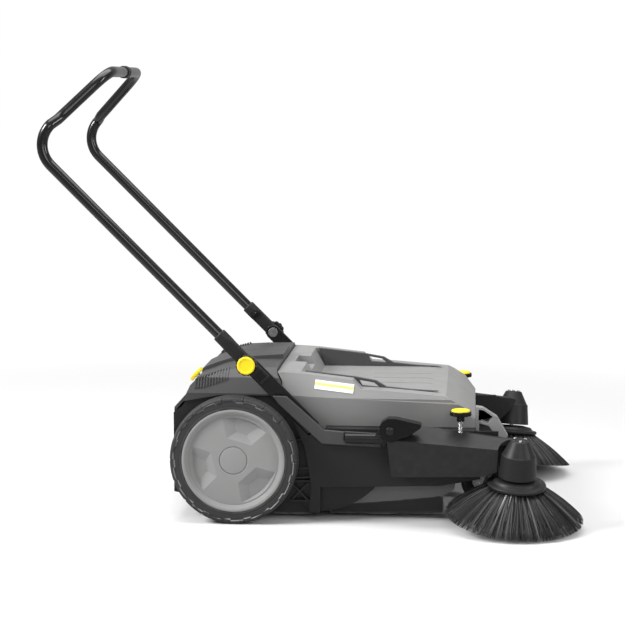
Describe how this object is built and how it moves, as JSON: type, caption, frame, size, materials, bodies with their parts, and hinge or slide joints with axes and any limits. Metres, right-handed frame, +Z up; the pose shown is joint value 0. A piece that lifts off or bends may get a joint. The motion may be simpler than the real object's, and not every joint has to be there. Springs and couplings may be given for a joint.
{
  "type": "walk-behind push sweeper",
  "caption": "Push sweeper with a folding handle, two large rear wheels that drive an enclosed main roller, two side brushes on hinged arms and a lift-out container.",
  "frame": {"origin": "on the floor, midway between the two rear wheels and straight below their axle", "axes": "+X forward towards the side brushes, +Y to the machine's left, +Z up"},
  "size_m": [1.2467, 0.949, 1.0401],
  "materials": {
    "housing_grey": "satin moulded plastic",
    "housing_dark": "fine-grained moulded plastic",
    "housing_black": "fine-grained moulded plastic",
    "gloss_black": "glossy moulded plastic",
    "handle_paint": "glossy powder coat",
    "bracket_paint": "matt powder coat",
    "steel": "bright zinc plate",
    "rim_grey": "satin moulded plastic",
    "tyre_rubber": "matt rubber",
    "seal_rubber": "matt rubber",
    "yellow": "satin moulded plastic",
    "bristle_black": "stiff drawn bristles",
    "bristle_grey": "stiff drawn bristles",
    "bearing_plastic": "natural moulded plastic",
    "label_white": "blank printed film"
  },
  "bodies": {
    "chassis": {"chassis": "housing_black", "rear_cover": "housing_dark", "side_rails": "housing_dark", "handle_brackets": "bracket_paint", "pivot_bolts": "steel", "axle_stubs": "steel", "axle_clips": "steel", "sealing_strips": "seal_rubber", "roller_bearings": "bearing_plastic", "drive_belts": "seal_rubber", "belt_guides": "bearing_plastic", "arm_mounts": "bracket_paint", "arm_hinge_bolts": "bracket_paint", "caster_retainer": "steel", "adjuster_spindle": "steel"},
    "handle": {"handle_tube": "handle_paint", "handle_sleeve": "seal_rubber", "handle_sockets": "housing_black"},
    "roller": {"roller_pinion_right": "bearing_plastic", "roller_shaft": "steel", "roller_core": "housing_black", "roller_bristles": "bristle_grey", "belt_pulleys": "bearing_plastic"},
    "free_pinion": {"roller_pinion_left": "bearing_plastic"},
    "container": {"container_hood": "housing_grey", "container_tub": "housing_grey", "container_front_grip": "housing_grey", "container_grips": "housing_dark", "label_plates": "label_white", "container_seals": "seal_rubber"},
    "caster": {"caster_fork": "steel", "caster_axle": "steel"},
    "caster_wheel": {"caster_wheel": "tyre_rubber"},
    "roller_adjuster": {"adjuster_knob": "yellow"},
    "clamp_knob_left": {"clamp_knob_left": "yellow"},
    "wheel_left": {"wheel_hub_left": "rim_grey", "tyre_left": "tyre_rubber", "hub_cap_left": "rim_grey", "drive_gear_left": "housing_black"},
    "arm_left": {"arm_hinge_lever_left": "gloss_black", "side_arm_left": "housing_black", "brush_head_left": "housing_black", "head_screws_left": "steel"},
    "brush_left": {"brush_spindle_left": "steel", "brush_disc_left": "housing_black", "side_bristles_left": "bristle_black"},
    "height_knob_left": {"height_knob_left": "gloss_black"},
    "clamp_knob_right": {"clamp_knob_right": "yellow"},
    "wheel_right": {"wheel_hub_right": "rim_grey", "tyre_right": "tyre_rubber", "hub_cap_right": "rim_grey", "drive_gear_right": "housing_black"},
    "arm_right": {"arm_hinge_lever_right": "gloss_black", "side_arm_right": "housing_black", "brush_head_right": "housing_black", "head_screws_right": "steel"},
    "brush_right": {"brush_spindle_right": "steel", "brush_disc_right": "housing_black", "side_bristles_right": "bristle_black"},
    "height_knob_right": {"height_knob_right": "gloss_black"}
  },
  "joints": [
    {"name": "handle_fold", "type": "hinge", "parent": "chassis", "child": "handle", "pos_m": [0.029, 0, 0.364], "axis": [0, -1, 0], "range_deg": [-143, 0], "deforming": ["side_bristles_left", "side_bristles_right"]},
    {"name": "wheel_right_spin", "type": "hinge", "parent": "chassis", "child": "wheel_right", "pos_m": [0, -0.3, 0.147], "axis": [0, 1, 0], "continuous": true},
    {"name": "wheel_left_spin", "type": "hinge", "parent": "chassis", "child": "wheel_left", "pos_m": [0, 0.3, 0.147], "axis": [0, 1, 0], "continuous": true},
    {"name": "roller_spin", "type": "hinge", "parent": "chassis", "child": "roller", "pos_m": [0.09318, 0, 0.1055], "axis": [0, 1, 0], "continuous": true},
    {"name": "free_pinion_spin", "type": "hinge", "parent": "chassis", "child": "free_pinion", "pos_m": [0.09318, 0.266, 0.1055], "axis": [0, 1, 0], "continuous": true},
    {"name": "container_lift", "type": "slide", "parent": "chassis", "child": "container", "axis": [0, 0, 1], "range_m": [0, 0.25]},
    {"name": "caster_swivel", "type": "hinge", "parent": "chassis", "child": "caster", "pos_m": [0.575, 0, 0.1], "axis": [0, 0, 1], "continuous": true},
    {"name": "caster_wheel_spin", "type": "hinge", "parent": "caster", "child": "caster_wheel", "pos_m": [0.553, 0, 0.0375], "axis": [0, 1, 0], "continuous": true},
    {"name": "roller_adjuster_turn", "type": "hinge", "parent": "chassis", "child": "roller_adjuster", "pos_m": [-0.122, 0, 0.288], "axis": [-0.7323, 0, 0.681], "range_deg": [-135, 135]},
    {"name": "clamp_knob_left_turn", "type": "hinge", "parent": "chassis", "child": "clamp_knob_left", "pos_m": [0.029, 0.305, 0.364], "axis": [0, 1, 0], "range_deg": [0, 360]},
    {"name": "arm_left_lift", "type": "hinge", "parent": "chassis", "child": "arm_left", "pos_m": [0.357, 0.32, 0.224], "axis": [0, -1, 0], "range_deg": [0, 14], "deforming": ["drive_belts"]},
    {"name": "brush_left_spin", "type": "hinge", "parent": "arm_left", "child": "brush_left", "pos_m": [0.641, 0.329, 0.107], "axis": [0.0587, 0.1458, 0.9876], "continuous": true},
    {"name": "height_knob_left_turn", "type": "hinge", "parent": "arm_left", "child": "height_knob_left", "pos_m": [0.514, 0.289, 0.25], "axis": [0, 0, 1], "range_deg": [-360, 360]},
    {"name": "clamp_knob_right_turn", "type": "hinge", "parent": "chassis", "child": "clamp_knob_right", "pos_m": [0.029, -0.305, 0.364], "axis": [0, -1, 0], "range_deg": [0, 360]},
    {"name": "arm_right_lift", "type": "hinge", "parent": "chassis", "child": "arm_right", "pos_m": [0.357, -0.32, 0.224], "axis": [0, -1, 0], "range_deg": [0, 14], "deforming": ["drive_belts"]},
    {"name": "brush_right_spin", "type": "hinge", "parent": "arm_right", "child": "brush_right", "pos_m": [0.641, -0.329, 0.107], "axis": [0.0587, -0.1458, 0.9876], "continuous": true},
    {"name": "height_knob_right_turn", "type": "hinge", "parent": "arm_right", "child": "height_knob_right", "pos_m": [0.514, -0.289, 0.25], "axis": [0, 0, 1], "range_deg": [-360, 360]}
  ],
  "couplings": [
    {"joint": "roller_spin", "follows": "wheel_right_spin", "ratio": -3},
    {"joint": "free_pinion_spin", "follows": "wheel_left_spin", "ratio": -3},
    {"joint": "brush_right_spin", "follows": "wheel_right_spin", "ratio": 3},
    {"joint": "brush_left_spin", "follows": "wheel_right_spin", "ratio": -3}
  ]
}
